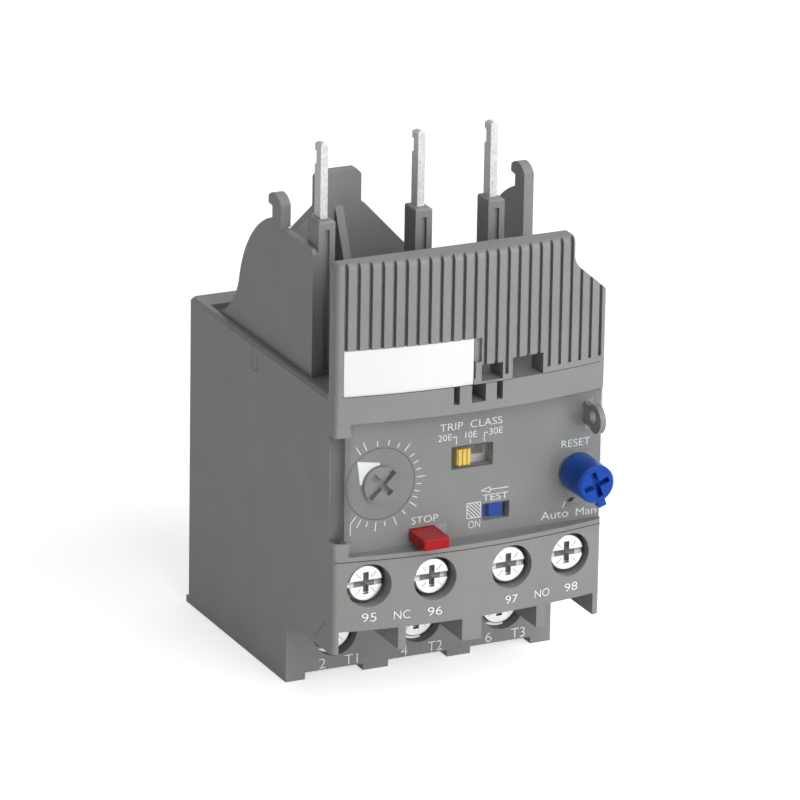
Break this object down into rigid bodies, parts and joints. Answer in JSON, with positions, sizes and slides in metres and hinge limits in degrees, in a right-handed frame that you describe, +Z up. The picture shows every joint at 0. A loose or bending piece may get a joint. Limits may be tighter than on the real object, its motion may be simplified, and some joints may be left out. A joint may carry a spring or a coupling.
{
  "type": "electronic overload relay",
  "caption": "Plug-in electronic motor overload relay: bowed front with clear hinged cover, setting dial, reset knob, stop button, plug pins above, screw terminals below.",
  "frame": {"origin": "centre of the bounding box in plan, at the bottom of the foot ribs", "axes": "+X to the right seen from the front, +Y to the back, +Z up towards the plug pins"},
  "size_m": [0.045, 0.0594, 0.0865],
  "materials": {
    "housing_grey": "moulded thermoplastic, warm mid grey, fine matt texture",
    "clear_cover": "clear polycarbonate, slightly smoked",
    "label_white": "plain white label plate",
    "tinned_copper": "copper with a matt tin plating",
    "screw_steel": "zinc-plated steel",
    "button_red": "moulded red",
    "knob_blue": "moulded blue",
    "selector_yellow": "moulded yellow",
    "dial_grey": "moulded grey dial",
    "board_green": "glass-fibre circuit board with green lacquer",
    "black_plastic": "moulded black",
    "white_plastic": "moulded natural white",
    "core_steel": "laminated transformer steel, varnished",
    "coil_copper": "enamelled copper winding",
    "contact_brass": "stamped brass with riveted contacts",
    "spring_steel": "drawn spring wire",
    "can_aluminium": "aluminium can"
  },
  "bodies": {
    "relay_body": {"housing": "housing_grey", "top_cover": "housing_grey", "front_cover": "housing_grey", "grille_shroud": "housing_grey", "label_plate": "label_white", "aux_terminal_block": "housing_grey", "ct_carrier": "black_plastic", "circuit_board": "board_green", "capacitor": "can_aluminium", "controller_chip": "black_plastic", "potentiometer_body": "black_plastic", "class_switch_body": "dial_grey", "mechanism_frame": "white_plastic", "magnet_yoke": "core_steel", "magnet_coil": "coil_copper", "stop_spring": "spring_steel", "reset_spring": "spring_steel", "conductor_l1": "tinned_copper", "ct_core_l1": "core_steel", "ct_coil_l1": "coil_copper", "conductor_l2": "tinned_copper", "ct_core_l2": "core_steel", "ct_coil_l2": "coil_copper", "conductor_l3": "tinned_copper", "ct_core_l3": "core_steel", "ct_coil_l3": "coil_copper", "contact_strip_95": "contact_brass", "contact_strip_96": "contact_brass", "contact_strip_97": "contact_brass", "contact_strip_98": "contact_brass"},
    "window_cover": {"window_cover": "clear_cover"},
    "setting_dial": {"setting_dial": "dial_grey"},
    "class_selector": {"class_selector": "selector_yellow"},
    "trip_slide": {"trip_slide": "white_plastic", "test_slider": "knob_blue", "nc_contact_bridge": "contact_brass", "no_contact_bridge": "contact_brass", "magnet_plunger": "screw_steel"},
    "stop_button": {"stop_button": "button_red"},
    "reset_plunger": {"reset_plunger": "white_plastic"},
    "reset_knob": {"reset_knob": "knob_blue"},
    "aux_screw_95": {"aux_screw_95": "screw_steel"},
    "aux_clamp_95": {"aux_clamp_95": "screw_steel"},
    "aux_screw_96": {"aux_screw_96": "screw_steel"},
    "aux_clamp_96": {"aux_clamp_96": "screw_steel"},
    "aux_screw_97": {"aux_screw_97": "screw_steel"},
    "aux_clamp_97": {"aux_clamp_97": "screw_steel"},
    "aux_screw_98": {"aux_screw_98": "screw_steel"},
    "aux_clamp_98": {"aux_clamp_98": "screw_steel"},
    "power_screw_1": {"power_screw_1": "screw_steel"},
    "power_clamp_1": {"power_clamp_1": "screw_steel"},
    "power_screw_2": {"power_screw_2": "screw_steel"},
    "power_clamp_2": {"power_clamp_2": "screw_steel"},
    "power_screw_3": {"power_screw_3": "screw_steel"},
    "power_clamp_3": {"power_clamp_3": "screw_steel"}
  },
  "joints": [
    {"name": "window_hinge", "type": "hinge", "parent": "relay_body", "child": "window_cover", "pos_m": [-0.0214, -0.02293, 0.0363], "axis": [0, 0, -1], "range_deg": [0, 100]},
    {"name": "current_dial", "type": "hinge", "parent": "relay_body", "child": "setting_dial", "pos_m": [-0.01433, -0.02293, 0.03616], "axis": [0, 1, 0], "range_deg": [0, 263]},
    {"name": "class_slide", "type": "slide", "parent": "relay_body", "child": "class_selector", "axis": [1, 0, 0], "range_m": [-0.001, 0.0034]},
    {"name": "trip_travel", "type": "slide", "parent": "relay_body", "child": "trip_slide", "axis": [-1, 0, 0], "range_m": [0, 0.0015]},
    {"name": "stop_push", "type": "slide", "parent": "relay_body", "child": "stop_button", "axis": [0, 1, 0], "range_m": [0, 0.002], "stiffness_N_per_m": 300, "springref_m": -0.001, "deforming": ["stop_spring"]},
    {"name": "reset_push", "type": "slide", "parent": "relay_body", "child": "reset_plunger", "axis": [0, 1, 0], "range_m": [0, 0.0018], "stiffness_N_per_m": 400, "springref_m": -0.001, "deforming": ["reset_spring"]},
    {"name": "mode_turn", "type": "hinge", "parent": "reset_plunger", "child": "reset_knob", "pos_m": [0.0186, -0.02693, 0.03355], "axis": [0, 1, 0], "range_deg": [0, 40]},
    {"name": "aux_screw_95_turn", "type": "hinge", "parent": "relay_body", "child": "aux_screw_95", "pos_m": [-0.0168, -0.02092, 0.02095], "axis": [0, 1, 0], "range_deg": [0, 2880]},
    {"name": "aux_clamp_95_draw", "type": "slide", "parent": "relay_body", "child": "aux_clamp_95", "axis": [0, -1, 0], "range_m": [0, 0.004]},
    {"name": "aux_screw_96_turn", "type": "hinge", "parent": "relay_body", "child": "aux_screw_96", "pos_m": [-0.0064, -0.02092, 0.02095], "axis": [0, 1, 0], "range_deg": [0, 2880]},
    {"name": "aux_clamp_96_draw", "type": "slide", "parent": "relay_body", "child": "aux_clamp_96", "axis": [0, -1, 0], "range_m": [0, 0.004]},
    {"name": "aux_screw_97_turn", "type": "hinge", "parent": "relay_body", "child": "aux_screw_97", "pos_m": [0.0064, -0.02092, 0.02095], "axis": [0, 1, 0], "range_deg": [0, 2880]},
    {"name": "aux_clamp_97_draw", "type": "slide", "parent": "relay_body", "child": "aux_clamp_97", "axis": [0, -1, 0], "range_m": [0, 0.004]},
    {"name": "aux_screw_98_turn", "type": "hinge", "parent": "relay_body", "child": "aux_screw_98", "pos_m": [0.0168, -0.02092, 0.02095], "axis": [0, 1, 0], "range_deg": [0, 2880]},
    {"name": "aux_clamp_98_draw", "type": "slide", "parent": "relay_body", "child": "aux_clamp_98", "axis": [0, -1, 0], "range_m": [0, 0.004]},
    {"name": "power_screw_1_turn", "type": "hinge", "parent": "relay_body", "child": "power_screw_1", "pos_m": [-0.0142, -0.00593, 0.0068], "axis": [0, 1, 0], "range_deg": [0, 2520]},
    {"name": "power_clamp_1_draw", "type": "slide", "parent": "relay_body", "child": "power_clamp_1", "axis": [0, -1, 0], "range_m": [0, 0.0042]},
    {"name": "power_screw_2_turn", "type": "hinge", "parent": "relay_body", "child": "power_screw_2", "pos_m": [0, -0.00593, 0.0068], "axis": [0, 1, 0], "range_deg": [0, 2520]},
    {"name": "power_clamp_2_draw", "type": "slide", "parent": "relay_body", "child": "power_clamp_2", "axis": [0, -1, 0], "range_m": [0, 0.0042]},
    {"name": "power_screw_3_turn", "type": "hinge", "parent": "relay_body", "child": "power_screw_3", "pos_m": [0.0142, -0.00593, 0.0068], "axis": [0, 1, 0], "range_deg": [0, 2520]},
    {"name": "power_clamp_3_draw", "type": "slide", "parent": "relay_body", "child": "power_clamp_3", "axis": [0, -1, 0], "range_m": [0, 0.0042]}
  ],
  "couplings": [
    {"joint": "aux_screw_95_turn", "follows": "aux_clamp_95_draw", "rad_per_m": 12566},
    {"joint": "aux_screw_96_turn", "follows": "aux_clamp_96_draw", "rad_per_m": 12566},
    {"joint": "aux_screw_97_turn", "follows": "aux_clamp_97_draw", "rad_per_m": 12566},
    {"joint": "aux_screw_98_turn", "follows": "aux_clamp_98_draw", "rad_per_m": 12566},
    {"joint": "power_screw_1_turn", "follows": "power_clamp_1_draw", "rad_per_m": 10472},
    {"joint": "power_screw_2_turn", "follows": "power_clamp_2_draw", "rad_per_m": 10472},
    {"joint": "power_screw_3_turn", "follows": "power_clamp_3_draw", "rad_per_m": 10472}
  ]
}
